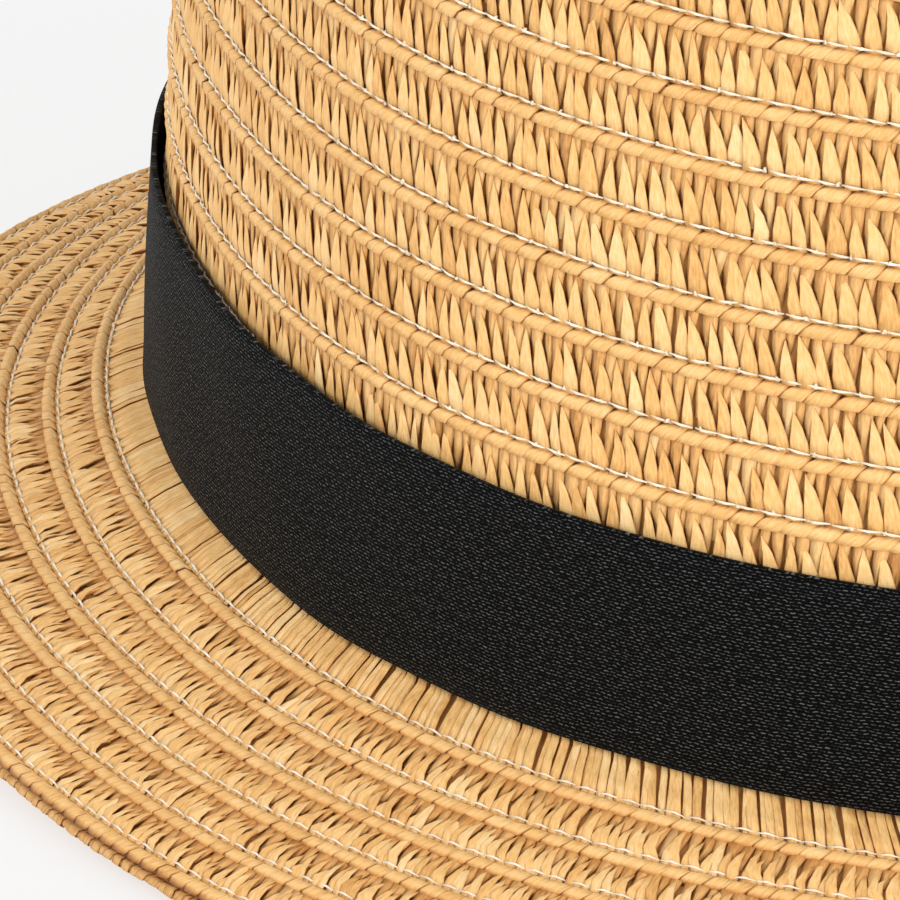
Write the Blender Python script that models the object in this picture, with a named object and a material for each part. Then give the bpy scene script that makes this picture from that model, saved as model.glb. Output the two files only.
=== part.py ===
"""Straw boater hat with a dark ribbon band, in metres, +Z up, resting on z = 0.

The straw body is sewn from one braid in lapped rows: each row's corded lower edge lies over the
row below it, so every outer face is a run of small steps. It is made here as the hatter names
its parts: the tip (the flat top), the side (the wall), the brim, and the second braid sewn
under the brim's edge. Every straw piece is one closed profile swept round the same head oval.
The long axis of the oval runs front to back along Y, and the front faces -Y.
"""
import math

import bmesh
import bpy
import numpy as np

# Head size, measured inside the crown.
HEAD_LENGTH = 0.200
HEAD_WIDTH = 0.163
HEAD_EGG = 0.0014            # how much the oval narrows to one end
CORE_RADIUS = 0.055          # inside this mean radius the tip's rows shrink in proportion

# Straw braid.
STRAW = 0.0011               # one layer of braid where it is hidden under the next row
ROW_SINK = 0.0005            # the strands just below a cord lie this far under the thread line
CORD_PROUD = 0.0005          # the cord's crest stands this far over the thread line
CORD_CREST = 0.0014          # thread to the crest of the cord, along the surface
CORD_REACH = 0.0020          # thread to the cord's lower edge
FIT_GAP = 0.0003             # clearance between pieces that touch

# Crown.
WALL_ROW = 0.00671           # from one row's thread to the next, on the side and the tip
SIDE_ROWS = 11
CROWN_TAPER = 0.0040         # how far the wall has drawn in at the shoulder
TAPER_POWER = 3.0
SHOULDER_RADIUS = 0.0080
SWELL = 0.0011               # the wall stands out this much on one side, above the band
SWELL_REACH = 0.0200         # height over the foot at which it stands out in full
SWELL_TURN = math.radians(145)
SWELL_POWER = 12             # the higher, the narrower the swelled part
TIP_WALL = 0.0016            # thread line to the tip's underside
SIDE_LAP = 0.0025            # the side's hidden margin inside the tip's lowest row

# Brim.
BRIM_ROW = 0.00517           # from one row's thread to the next, measured level
BRIM_ROWS = 6
FIRST_ROW = 0.00659          # the first brim thread, outside the crown's thread line
BRIM_SLOPE = math.radians(18.3)
BRIM_CURL = 0.0032           # extra rise of the brim where it meets the crown
BRIM_CURL_REACH = 0.0183
BRIM_WALL = 0.0016           # thread line to the brim's underside
BRIM_WARP = 0.00117          # the edge lifts and drops this far, twice each way round
BRIM_WARP_START = 0.0094
BRIM_WARP_TURN = math.radians(-24.0)
COLLAR_LAP = 0.0055          # the brim's collar inside the crown's lowest row
FOOT_RADIUS = 0.0030         # hollow turn from the crown's foot into the brim
FOOT_SLOPE = math.radians(14.0)
FOOT_OUTSET = 0.00015
FOOT_HEIGHT = 0.0032         # from the middle of the turn up to the crown's lowest cord

# Braid under the brim's edge.
EDGE_WIDTH = 0.0066
EDGE_CORD_RADIUS = 0.00068
EDGE_CORD_OUTSET = 0.0005    # the last brim thread to the middle of the edge's cord
REST_STRIP = 0.0012          # level part of the edge's foot
REST_PRESS = 0.00015         # the low sides of the edge are pressed flat by this much

# Ribbon band.
BAND_WIDTH = 0.0229
BAND_THICKNESS = 0.0010
BAND_FLARE = 0.00075         # the band's lower edge stands out this much more
BAND_LAP_STEPS = 3           # steps of the sweep in which one end lies over the other
BAND_RAMP_STEPS = 4          # steps in which that end rises clear of the layer below

SEGMENTS = 52
TURN_STEPS = 4
EDGE_ARC_STEPS = 5
SHARP_ANGLE = math.radians(30)
UNDERSIDE_SHARES = (1.0, 0.5, 0.25, 0.0)   # stations under the brim, from its end inwards
EDGE_ARC = (math.radians(90), math.radians(-90))   # the part of the edge's cord that shows

# Plain finishes: linear colour and roughness.
STRAW_FINISH = ((0.73, 0.46, 0.19), 0.65)
EDGE_FINISH = ((0.62, 0.36, 0.13), 0.70)
RIBBON_FINISH = ((0.012, 0.012, 0.014), 0.45)

# Sizes that follow.
HEAD_RADIUS = (HEAD_LENGTH + HEAD_WIDTH) / 4
HEAD_STRETCH = (HEAD_LENGTH - HEAD_WIDTH) / 4
SIDE_WALL = STRAW + FIT_GAP + STRAW + ROW_SINK
THREAD_RADIUS = HEAD_RADIUS + SIDE_WALL
LAST_ROW = FIRST_ROW + (BRIM_ROWS - 1) * BRIM_ROW
EDGE_CORD = LAST_ROW + EDGE_CORD_OUTSET
REST_START = EDGE_CORD - REST_STRIP
BRIM_END = LAST_ROW + CORD_CREST
REST_HEIGHT = BRIM_WARP - REST_PRESS
EDGE_CORD_HEIGHT = EDGE_CORD_RADIUS * (1 + 1 / math.cos(BRIM_SLOPE))   # up to the slope over it
RIM_HEIGHT = (REST_HEIGHT + EDGE_CORD_HEIGHT + FIT_GAP + BRIM_WALL
              + math.tan(BRIM_SLOPE) * EDGE_CORD_OUTSET)


def oval(mean, angle):
    """Radius of the head oval: the mean plus a two-lobed stretch and a slight three-lobed egg."""
    shape = min(1.0, mean / CORE_RADIUS)
    turned = angle - math.pi / 2
    return mean + shape * (HEAD_STRETCH * math.cos(2 * turned) + HEAD_EGG * math.cos(3 * turned))


def brim_line(offset):
    """Height of the brim's thread line: a straight slope plus a curl that fades outwards."""
    curl = max(0.0, 1.0 - offset / BRIM_CURL_REACH)
    return RIM_HEIGHT + math.tan(BRIM_SLOPE) * (LAST_ROW - offset) + BRIM_CURL * curl ** 2


def brim_warp(offset, angle):
    """Lift of the warped brim: it grows with the square of the distance past its start, and
    stays the same past the start of the edge's foot, which so stays level.
    """
    share = max(0.0, min(offset, REST_START) - BRIM_WARP_START) / (REST_START - BRIM_WARP_START)
    return BRIM_WARP * share ** 2 * math.cos(2 * (angle - BRIM_WARP_TURN))


FIRST_CREST = FIRST_ROW + CORD_CREST
FIRST_CREST_HEIGHT = brim_line(FIRST_CREST) + CORD_PROUD
FOOT_MIDDLE = FOOT_OUTSET + FOOT_RADIUS
FOOT_END = FOOT_MIDDLE - FOOT_RADIUS * math.sin(FOOT_SLOPE)
FOOT_MIDDLE_HEIGHT = (FIRST_CREST_HEIGHT + math.tan(FOOT_SLOPE) * (FIRST_CREST - FOOT_END)
                      + math.cos(FOOT_SLOPE) * FOOT_RADIUS)
LEDGE_HEIGHT = FOOT_MIDDLE_HEIGHT + FOOT_HEIGHT
SIDE_START = LEDGE_HEIGHT + FIT_GAP + CORD_REACH
TIP_THREAD = SIDE_START + SIDE_ROWS * WALL_ROW


def wall_line(height):
    """Offset of the wall's thread line, drawn in by a power of the height over the first row."""
    share = max(0.0, (height - SIDE_START) / (TIP_THREAD - SIDE_START))
    return -CROWN_TAPER * share ** TAPER_POWER


def tip_line(length, rise):
    """Point at a length along the tip's thread line, and a rise out of it.

    The line runs up the wall, round the shoulder as a quarter circle, and level to the middle.
    """
    turn = min(max(length / SHOULDER_RADIUS, 0.0), math.pi / 2)
    middle = wall_line(TIP_THREAD) - SHOULDER_RADIUS
    level = max(0.0, length - SHOULDER_RADIUS * math.pi / 2)
    reach = SHOULDER_RADIUS + rise
    offset = middle + reach * math.cos(turn) - level
    return offset, TIP_THREAD + reach * math.sin(turn) + min(length, 0.0)


def turned_arc(middle, height, width, depth, first, last, steps):
    """Points on an elliptical arc, from the first angle to the last."""
    angles = np.linspace(first, last, steps + 1)
    return [(middle + width * math.cos(a), height + depth * math.sin(a)) for a in angles]


def plain_material(name, finish):
    """A plain finish for one piece."""
    colour, roughness = finish
    material = bpy.data.materials.new(name)
    material.use_nodes = True
    shader = material.node_tree.nodes["Principled BSDF"]
    shader.inputs["Base Color"].default_value = (*colour, 1.0)
    shader.inputs["Roughness"].default_value = roughness
    shader.inputs["Metallic"].default_value = 0.0
    return material


def finish_object(name, bm, material):
    """Turn the faces outwards and put the mesh into the scene."""
    bmesh.ops.recalc_face_normals(bm, faces=bm.faces)
    mesh = bpy.data.meshes.new(name)
    bm.to_mesh(mesh)
    bm.free()
    mesh.shade_smooth()
    mesh.set_sharp_from_angle(angle=SHARP_ANGLE)
    mesh.materials.append(material)
    piece = bpy.data.objects.new(name, mesh)
    bpy.context.collection.objects.link(piece)
    return piece


def crown_swell(height, angle):
    """Share by which the crown is wider here: a bump round one side that grows with the height."""
    rise = min(max((height - FOOT_MIDDLE_HEIGHT) / SWELL_REACH, 0.0), 1.0)
    bump = ((1 + math.cos(angle - SWELL_TURN)) / 2) ** SWELL_POWER
    return SWELL / THREAD_RADIUS * rise * bump


def place(offset, height, angle, lift=None):
    """World point of a profile point at one angle of the sweep, centred on the oval's box."""
    radius = oval(THREAD_RADIUS + offset, angle) * (1 + crown_swell(height, angle))
    if lift:
        height = max(0.0, height + lift(offset, angle))
    return radius * math.cos(angle), radius * math.sin(angle) - HEAD_EGG, height


def ring(bm, offset, height, lift=None):
    """One ring of vertices round the oval."""
    step = 2 * math.pi / SEGMENTS
    return [bm.verts.new(place(offset, height, i * step, lift)) for i in range(SEGMENTS)]


def skin_rings(bm, first, second):
    """Join two rings with a belt of four-sided faces."""
    for i in range(SEGMENTS):
        j = (i + 1) % SEGMENTS
        bm.faces.new((first[i], first[j], second[j], second[i]))


def swept_ring(name, profile, material, lift=None):
    """A closed profile swept all the way round the oval."""
    bm = bmesh.new()
    rings = [ring(bm, offset, height, lift) for offset, height in profile]
    for k, first in enumerate(rings):
        skin_rings(bm, first, rings[(k + 1) % len(rings)])
    return finish_object(name, bm, material)


def swept_cap(name, profile, material):
    """An open profile swept round the oval, its two ends closed to points on the axis."""
    bm = bmesh.new()
    rings = [ring(bm, offset, height) for offset, height in profile]
    for first, second in zip(rings, rings[1:]):
        skin_rings(bm, first, second)
    for end, height in ((rings[0], profile[0][1]), (rings[-1], profile[-1][1])):
        middle = bm.verts.new((0.0, -HEAD_EGG, height))
        for i in range(SEGMENTS):
            bm.faces.new((end[i], end[(i + 1) % SEGMENTS], middle))
    return finish_object(name, bm, material)


def crown_side(material):
    """The wall: lapped rows outside, smooth inside, a thin margin at the top and the foot."""
    inner = -SIDE_WALL
    foot = SIDE_START - CORD_REACH
    collar_top = LEDGE_HEIGHT + COLLAR_LAP + FIT_GAP
    lap_inner = -ROW_SINK - STRAW
    top = TIP_THREAD - CORD_REACH - FIT_GAP
    profile = [(lap_inner, foot), (0.0, foot)]
    for row in range(SIDE_ROWS):
        thread = SIDE_START + row * WALL_ROW
        if row:
            profile.append((wall_line(thread) - ROW_SINK, thread - CORD_REACH))
        profile.append((wall_line(thread) + CORD_PROUD, thread - CORD_CREST))
    margin = wall_line(TIP_THREAD) + lap_inner - FIT_GAP
    profile += [(wall_line(top) - ROW_SINK, top), (margin, top)]
    profile += [(margin, top + SIDE_LAP), (margin - STRAW, top + SIDE_LAP)]
    middle = (collar_top + top) / 2
    profile += [(wall_line(middle) + inner, middle), (inner, collar_top), (lap_inner, collar_top)]
    return swept_ring("crown_side", profile, material)


def crown_tip(material):
    """The flat top and its turned-down edge, in rows from the rim to the middle."""
    foot = TIP_THREAD - CORD_REACH
    line = wall_line(TIP_THREAD)
    quarter = SHOULDER_RADIUS * math.pi / 2
    flat_radius = THREAD_RADIUS + line - SHOULDER_RADIUS
    rows = int((quarter + flat_radius - CORD_REACH) / WALL_ROW)
    outside = [(line, foot), tip_line(-CORD_CREST, CORD_PROUD)]
    for row in range(1, rows + 1):
        length = row * WALL_ROW
        outside.append(tip_line(length - CORD_REACH, -ROW_SINK))
        outside.append(tip_line(length - CORD_CREST, CORD_PROUD))
    inside = [(line - TIP_WALL, foot)]
    inside += [tip_line(quarter * k / TURN_STEPS, -TIP_WALL) for k in range(TURN_STEPS + 1)]
    inside.append(tip_line(quarter + flat_radius / 2, -TIP_WALL))
    inside.append(tip_line(rows * WALL_ROW, -TIP_WALL))
    return swept_cap("crown_tip", inside[::-1] + outside, material)


def brim(material):
    """The brim: a collar inside the crown, a hollow turn at its foot, and the lapped rows."""
    inner = -SIDE_WALL
    collar_top = LEDGE_HEIGHT + COLLAR_LAP
    turn_end = 1.5 * math.pi - FOOT_SLOPE
    profile = [(inner, collar_top), (inner + STRAW, collar_top), (inner + STRAW, LEDGE_HEIGHT)]
    profile.append((FOOT_OUTSET, LEDGE_HEIGHT))
    profile += turned_arc(FOOT_MIDDLE, FOOT_MIDDLE_HEIGHT, FOOT_RADIUS, FOOT_RADIUS,
                          math.pi, turn_end, TURN_STEPS)
    for row in range(BRIM_ROWS):
        thread = FIRST_ROW + row * BRIM_ROW
        crest = thread + CORD_CREST
        profile.append((crest, brim_line(crest) + CORD_PROUD))
        if row < BRIM_ROWS - 1:
            sunk = thread + CORD_REACH
            profile.append((sunk, brim_line(sunk) - ROW_SINK))
    profile.append((LAST_ROW + CORD_REACH, brim_line(LAST_ROW + CORD_REACH) - ROW_SINK / 2))
    for share in UNDERSIDE_SHARES:
        offset = FIRST_CREST + share * (BRIM_END - FIRST_CREST)
        profile.append((offset, brim_line(offset) - BRIM_WALL))
    under = FOOT_MIDDLE - inner
    depth = FOOT_RADIUS + BRIM_WALL
    profile += turned_arc(FOOT_MIDDLE, FOOT_MIDDLE_HEIGHT, under, depth,
                          turn_end, math.pi, TURN_STEPS)
    return swept_ring("brim", profile, material, brim_warp)


def brim_edge(material):
    """The braid under the brim's edge, its cord under the last row's, flat where it rests."""
    start = EDGE_CORD - EDGE_WIDTH
    seat = BRIM_WALL + FIT_GAP
    profile = [(start, brim_line(start) - seat - STRAW), (start, brim_line(start) - seat)]
    middle = REST_HEIGHT + EDGE_CORD_RADIUS
    profile += turned_arc(EDGE_CORD, middle, EDGE_CORD_RADIUS, EDGE_CORD_RADIUS,
                          *EDGE_ARC, EDGE_ARC_STEPS)
    profile.append((REST_START, REST_HEIGHT))
    return swept_ring("brim_edge", profile, material, brim_warp)


def hat_band(material):
    """The ribbon: one strip round the crown's foot, its ends lapped on the wearer's left."""
    inner = CORD_PROUD + FIT_GAP
    across = FOOT_MIDDLE - inner - BAND_FLARE
    clear = FOOT_RADIUS - FIT_GAP
    bottom = FOOT_MIDDLE_HEIGHT - math.sqrt(max(0.0, clear ** 2 - across ** 2))
    top = bottom + BAND_WIDTH
    step = 2 * math.pi / SEGMENTS
    first = -BAND_LAP_STEPS // 2
    bm = bmesh.new()
    sections = []
    for k in range(SEGMENTS + BAND_LAP_STEPS + 1):
        ramp = min(max((k - SEGMENTS) / BAND_RAMP_STEPS + 1.0, 0.0), 1.0)
        rise = ramp * (BAND_THICKNESS + FIT_GAP)
        corners = ((inner + BAND_FLARE, bottom), (inner + BAND_FLARE + BAND_THICKNESS, bottom),
                   (inner + BAND_THICKNESS, top), (inner, top))
        angle = (first + k) * step
        sections.append([bm.verts.new(place(offset + rise, height, angle))
                         for offset, height in corners])
    for near, far in zip(sections, sections[1:]):
        for i in range(4):
            j = (i + 1) % 4
            bm.faces.new((near[i], near[j], far[j], far[i]))
    bm.faces.new(sections[0])
    bm.faces.new(sections[-1])
    return finish_object("hat_band", bm, material)


def build():
    """Clear the scene and make every piece."""
    for old in list(bpy.data.objects):
        bpy.data.objects.remove(old, do_unlink=True)
    crown_tip(plain_material("tip_straw", STRAW_FINISH))
    crown_side(plain_material("side_straw", STRAW_FINISH))
    brim(plain_material("brim_straw", STRAW_FINISH))
    brim_edge(plain_material("edge_straw", EDGE_FINISH))
    hat_band(plain_material("band_ribbon", RIBBON_FINISH))


build()
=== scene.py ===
import bpy
import numpy as np
from mathutils import Matrix, Vector


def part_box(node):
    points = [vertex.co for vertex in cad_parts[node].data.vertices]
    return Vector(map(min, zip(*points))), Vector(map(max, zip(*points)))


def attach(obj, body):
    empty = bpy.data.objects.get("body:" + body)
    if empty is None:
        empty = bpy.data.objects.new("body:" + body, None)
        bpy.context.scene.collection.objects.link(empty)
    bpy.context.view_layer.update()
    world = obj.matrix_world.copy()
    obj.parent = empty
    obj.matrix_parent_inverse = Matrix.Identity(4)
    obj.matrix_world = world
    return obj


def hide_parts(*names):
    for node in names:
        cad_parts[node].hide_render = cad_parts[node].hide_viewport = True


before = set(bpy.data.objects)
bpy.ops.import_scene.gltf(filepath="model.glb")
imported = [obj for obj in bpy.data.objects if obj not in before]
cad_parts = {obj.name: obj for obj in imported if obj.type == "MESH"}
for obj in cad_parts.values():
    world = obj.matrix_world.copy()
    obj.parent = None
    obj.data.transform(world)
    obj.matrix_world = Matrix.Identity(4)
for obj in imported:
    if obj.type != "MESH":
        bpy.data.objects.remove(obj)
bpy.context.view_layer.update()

MM = 0.001
RANDOM = np.random.default_rng(58)     # seeded, so that every run lays the same straw

# Lowest and highest corners of the solids.
side_low, side_high = (np.array(corner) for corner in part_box("crown_side"))
tip_low, tip_high = (np.array(corner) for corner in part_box("crown_tip"))
brim_high = np.array(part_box("brim")[1])
band_low, band_high = (np.array(corner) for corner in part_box("hat_band"))

# Braid.
CORD_PROUD = 0.5 * MM        # the cord's crest over the thread line
CORD_REACH = 2.0 * MM        # thread to the cord's lower edge
CORD_RADIUS = 0.92 * MM
CORD_MIDDLE = 1.08 * MM      # thread to the middle of the cord
WRAP = 2.7 * MM              # from one strap round the cord to the next
BRIM_WRAP = 2.2 * MM         # the same on the brim
UNIT = 3.9 * MM              # the plait repeats at this step along a row
STITCH = 2.45 * MM           # from one stitch to the next
THREAD_THICK = 0.14 * MM     # half of the thread's thickness

# Crown and brim, as the solids have them.
SIDE_ROWS = 11
CROWN_TAPER = 4.0 * MM
TAPER_POWER = 3.0
HEAD_EGG = 1.4 * MM
CORE_RADIUS = 55 * MM
BRIM_ROWS = 6
FIRST_ROW = 6.59 * MM
BRIM_SLOPE = np.radians(18.3)
BRIM_CURL = 3.2 * MM
BRIM_CURL_REACH = 18.3 * MM
BRIM_WALL = 1.6 * MM
BRIM_WARP = 1.17 * MM
BRIM_WARP_START = 9.4 * MM
BRIM_WARP_TURN = np.radians(-24.0)
FOOT_RADIUS = 3.0 * MM
FOOT_SLOPE = np.radians(14.0)
FOOT_MIDDLE = 3.15 * MM
FOOT_HEIGHT = 3.2 * MM
FIT_GAP = 0.3 * MM
EDGE_CORD_RADIUS = 0.68 * MM
EDGE_CORD_OUTSET = 0.5 * MM
EDGE_WIDTH = 6.6 * MM
REST_STRIP = 1.2 * MM
REST_HEIGHT = 1.02 * MM
SWELL = 1.1 * MM             # the wall stands out this much on one side, above the band
SWELL_REACH = 20 * MM
SWELL_TURN = np.radians(145)
SWELL_POWER = 12

# The half sizes are read on the two sides that the swell does not reach.
STRETCH = (-side_low[1] - side_high[0]) / 2
THREAD_LINE = (-side_low[1] + side_high[0]) / 2 - CORD_PROUD
SIDE_START = side_low[2] + CORD_REACH
FOOT_MIDDLE_HEIGHT = side_low[2] - FIT_GAP - FOOT_HEIGHT
TIP_THREAD = tip_low[2] + CORD_REACH
SHOULDER = tip_high[2] - CORD_PROUD - TIP_THREAD
WALL_ROW = (TIP_THREAD - SIDE_START) / SIDE_ROWS
LAST_ROW = brim_high[0] - THREAD_LINE + STRETCH - CORD_REACH
BRIM_ROW = (LAST_ROW - FIRST_ROW) / (BRIM_ROWS - 1)
EDGE_CORD = LAST_ROW + EDGE_CORD_OUTSET
REST_START = EDGE_CORD - REST_STRIP
BRIM_END = LAST_ROW + 1.4 * MM
RIM_HEIGHT = (REST_HEIGHT + EDGE_CORD_RADIUS * (1 + 1 / np.cos(BRIM_SLOPE)) + FIT_GAP
              + BRIM_WALL + np.tan(BRIM_SLOPE) * EDGE_CORD_OUTSET)


def oval(mean, angle):
    """Radius of the head oval: the mean plus a two-lobed stretch and a slight three-lobed egg."""
    shape = np.minimum(1.0, mean / CORE_RADIUS)
    turned = angle - np.pi / 2
    return mean + shape * (STRETCH * np.cos(2 * turned) + HEAD_EGG * np.cos(3 * turned))


def brim_line(offset):
    """Height of the brim's thread line: a straight slope plus a curl that fades outwards."""
    curl = np.maximum(0.0, 1.0 - offset / BRIM_CURL_REACH)
    return RIM_HEIGHT + np.tan(BRIM_SLOPE) * (LAST_ROW - offset) + BRIM_CURL * curl ** 2


def brim_warp(offset, angle):
    """Lift of the warped brim: it grows with the square of the distance past its start, and
    stays the same past the start of the edge's foot.
    """
    share = np.clip(offset - BRIM_WARP_START, 0, REST_START - BRIM_WARP_START)
    share = share / (REST_START - BRIM_WARP_START)
    return BRIM_WARP * share ** 2 * np.cos(2 * (angle - BRIM_WARP_TURN))


def crown_swell(height, angle):
    """Share by which the crown is wider here: a bump round one side that grows with the height."""
    rise = np.clip((height - FOOT_MIDDLE_HEIGHT) / SWELL_REACH, 0, 1)
    bump = ((1 + np.cos(angle - SWELL_TURN)) / 2) ** SWELL_POWER
    return SWELL / THREAD_LINE * rise * bump


def wall_line(height):
    """Offset of the wall's thread line, drawn in by a power of the height over the first row."""
    share = np.maximum(0.0, (height - SIDE_START) / (TIP_THREAD - SIDE_START))
    return -CROWN_TAPER * share ** TAPER_POWER


def swept_point(offset, height, angle):
    """World point of a profile point at an angle of the oval, swelled and lifted by the warp.

    No point lies lower than the floor, so the edge is pressed flat where it rests.
    """
    radius = oval(THREAD_LINE + offset, angle) * (1 + crown_swell(height, angle))
    lifted = np.maximum(height + brim_warp(offset, angle), 0.0)
    return np.stack(np.broadcast_arrays(radius * np.cos(angle), radius * np.sin(angle) - HEAD_EGG,
                                        lifted), -1)


class ThreadLine:
    """The thread line as a finely sampled profile, with its length and outward direction."""

    STEP = 0.15 * MM
    SOFTEN = 7               # samples on each side over which a corner is rounded
    PAST_EDGE = 4 * MM       # the line starts this far outside the last row's thread

    def __init__(self):
        out = np.linspace(LAST_ROW + self.PAST_EDGE, FIRST_ROW, 160)
        parts = [np.stack([out, brim_line(out)], 1)]
        turn = np.linspace(1.5 * np.pi - FOOT_SLOPE, np.pi, 40)
        parts.append(np.stack([FOOT_MIDDLE + FOOT_RADIUS * np.cos(turn),
                               FOOT_MIDDLE_HEIGHT + FOOT_RADIUS * np.sin(turn)], 1))
        up = np.linspace(SIDE_START - CORD_REACH, TIP_THREAD, 200)
        parts.append(np.stack([wall_line(up), up], 1))
        turn = np.linspace(0, np.pi / 2, 40)[1:]
        shoulder = wall_line(TIP_THREAD) - SHOULDER
        parts.append(np.stack([shoulder + SHOULDER * np.cos(turn),
                               TIP_THREAD + SHOULDER * np.sin(turn)], 1))
        level = np.linspace(0, THREAD_LINE + shoulder, 160)[1:]
        parts.append(np.stack([shoulder - level, 0 * level + TIP_THREAD + SHOULDER], 1))
        rough = np.concatenate(parts)
        steps = np.linalg.norm(np.diff(rough, axis=0), axis=1)
        length = np.concatenate([[0], np.cumsum(steps)])
        even = np.append(np.arange(0, length[-1], self.STEP), length[-1])
        offset, height = (np.interp(even, length, rough[:, k]) for k in (0, 1))
        kernel = np.ones(2 * self.SOFTEN + 1) / (2 * self.SOFTEN + 1)
        inside = slice(self.SOFTEN, -self.SOFTEN)
        for _ in range(2):
            offset[inside] = np.convolve(offset, kernel, "valid")
            height[inside] = np.convolve(height, kernel, "valid")
        along = np.stack([np.gradient(offset), np.gradient(height)], 1)
        along /= np.linalg.norm(along, axis=1)[:, None]
        self.length, self.offset, self.height = even, offset, height
        self.out, self.up = along[:, 1], -along[:, 0]

    def at(self, length, rise):
        """Offset and height of a point at a length along the line and a rise out of it."""
        offset, height, out, up = (np.interp(length, self.length, values)
                                   for values in (self.offset, self.height, self.out, self.up))
        return np.maximum(offset + rise * out, -THREAD_LINE), height + rise * up

    def on_brim(self, offset):
        """Length at which the brim has this offset."""
        return float(np.interp(-offset, -self.offset, self.length))

    def on_wall(self, height):
        """Length at which the wall has this height, which grows all the way to the shoulder."""
        rising = self.height < TIP_THREAD + SHOULDER / 2
        return float(np.interp(height, self.height[rising], self.length[rising]))


LINE = ThreadLine()


class Row:
    """One row of braid: where its thread runs, and its lengths round the oval."""

    WANDER = 0.12 * MM       # a hand-fed row strays this far from its line
    STATIONS = 1441          # a quarter of a degree apart, with both ends counted

    def __init__(self, region, start, width):
        self.region, self.start, self.width = region, start, width
        self.measure(*LINE.at(start, 0.0))

    def measure(self, offset, height):
        """Lengths round the oval at a profile point, and the phases of the row's stray."""
        self.phases = RANDOM.uniform(0, 2 * np.pi, 3)
        self.angles = np.linspace(0, 2 * np.pi, self.STATIONS)
        points = swept_point(offset, height, self.angles)
        steps = np.linalg.norm(np.diff(points, axis=0), axis=1)
        self.round = np.concatenate([[0], np.cumsum(steps)])
        self.total = self.round[-1]

    def bend(self):
        """Angle by which the thread line turns over the width of the row."""
        ends = [self.start, self.start + self.width]
        turn = np.interp(ends, LINE.length, np.arctan2(LINE.up, LINE.out))
        return abs(turn[1] - turn[0])

    def angle(self, along):
        """Angle of the oval at a distance along the row, looked up in the row's lengths."""
        turns = np.floor(along / self.total)
        return np.interp(along - turns * self.total, self.round, self.angles) + 2 * np.pi * turns

    def wander(self, angle):
        """Stray of the row across its line: three sine waves of 3, 7 and 13 turns."""
        waves = [np.sin(n * angle + phase) for n, phase in zip((3, 7, 13), self.phases)]
        return self.WANDER * (waves[0] + 0.7 * waves[1] + 0.5 * waves[2]) / 2

    def place(self, along, across, rise):
        """World points at a distance along the row, across it and out of it."""
        angle = self.angle(along)
        offset, height = LINE.at(self.start + across + self.wander(angle), rise)
        return swept_point(offset, height, angle)


class EdgeRow(Row):
    """The cord of the braid under the brim's edge: across is upwards and rise is outwards."""

    def __init__(self):
        self.measure(EDGE_CORD, 0.0)

    def place(self, along, across, rise):
        """World points round the edge's cord, whose middle is one radius over the rest."""
        height = REST_HEIGHT + EDGE_CORD_RADIUS + across
        return swept_point(EDGE_CORD + rise, height, self.angle(along))


def make_rows():
    """All the rows, from the edge of the brim to the middle of the tip."""
    starts = [("brim", LINE.on_brim(LAST_ROW - k * BRIM_ROW)) for k in range(BRIM_ROWS)]
    starts += [("side", LINE.on_wall(SIDE_START + k * WALL_ROW)) for k in range(SIDE_ROWS)]
    first = LINE.on_wall(TIP_THREAD)
    count = int((LINE.length[-1] - first - CORD_REACH) / WALL_ROW)
    starts += [("tip", first + k * WALL_ROW) for k in range(count + 1)]
    ends = [start for _, start in starts[1:]] + [LINE.length[-1] + CORD_REACH]
    return [Row(region, start, end - start) for (region, start), end in zip(starts, ends)]


ROWS = make_rows()


def sharpen_strands(mesh):
    """Mark the two side edges of every strand as sharp: they join equal, even corners."""
    pairs = np.empty(len(mesh.edges) * 2, np.int32)
    mesh.edges.foreach_get("vertices", pairs)
    first, second = pairs.reshape(-1, 2).T
    layer = mesh.attributes.new("sharp_edge", "BOOLEAN", "EDGE")
    layer.data.foreach_set("value", (first % 4 == second % 4) & (first % 2 == 0))


def mesh_piece(name, points, faces, material, uv=None, tint=None):
    """A smooth mesh from whole arrays: points, groups of faces of one size each, uv and tint."""
    mesh = bpy.data.meshes.new(name)
    groups = [np.asarray(group, np.int32) for group in faces]
    corners = np.concatenate([group.ravel() for group in groups])
    sizes = np.concatenate([np.full(len(group), group.shape[1]) for group in groups])
    starts = np.concatenate([[0], np.cumsum(sizes)[:-1]]).astype(np.int32)
    mesh.vertices.add(len(points))
    mesh.vertices.foreach_set("co", np.asarray(points, np.float32).ravel())
    mesh.loops.add(len(corners))
    mesh.loops.foreach_set("vertex_index", corners)
    mesh.polygons.add(len(sizes))
    mesh.polygons.foreach_set("loop_start", starts)
    mesh.update(calc_edges=True)
    mesh.polygons.foreach_set("use_smooth", np.full(len(sizes), True))
    if uv is not None:
        layer = mesh.uv_layers.new(name="along")
        layer.data.foreach_set("uv", np.asarray(uv, np.float32)[corners].ravel())
    if tint is not None:
        layer = mesh.attributes.new("tint", "FLOAT_COLOR", "POINT")
        colour = np.ones((len(points), 4), np.float32)
        colour[:, :tint.shape[1]] = tint
        layer.data.foreach_set("color", colour.ravel())
    mesh.materials.append(material)
    piece = bpy.data.objects.new(name, mesh)
    bpy.context.collection.objects.link(piece)
    return piece


def strand_faces(count, stations):
    """Faces of many closed four-sided strands, each with its stations in turn and two caps."""
    station, side = np.meshgrid(np.arange(stations - 1), np.arange(4), indexing="ij")
    after = (side + 1) % 4
    belt = np.stack([station * 4 + side, station * 4 + after,
                     (station + 1) * 4 + after, (station + 1) * 4 + side], -1).reshape(-1, 4)
    last = (stations - 1) * 4
    one = np.concatenate([belt, [[3, 2, 1, 0], [last, last + 1, last + 2, last + 3]]])
    return (one[None] + (np.arange(count) * stations * 4)[:, None, None]).reshape(-1, 4)


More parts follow.
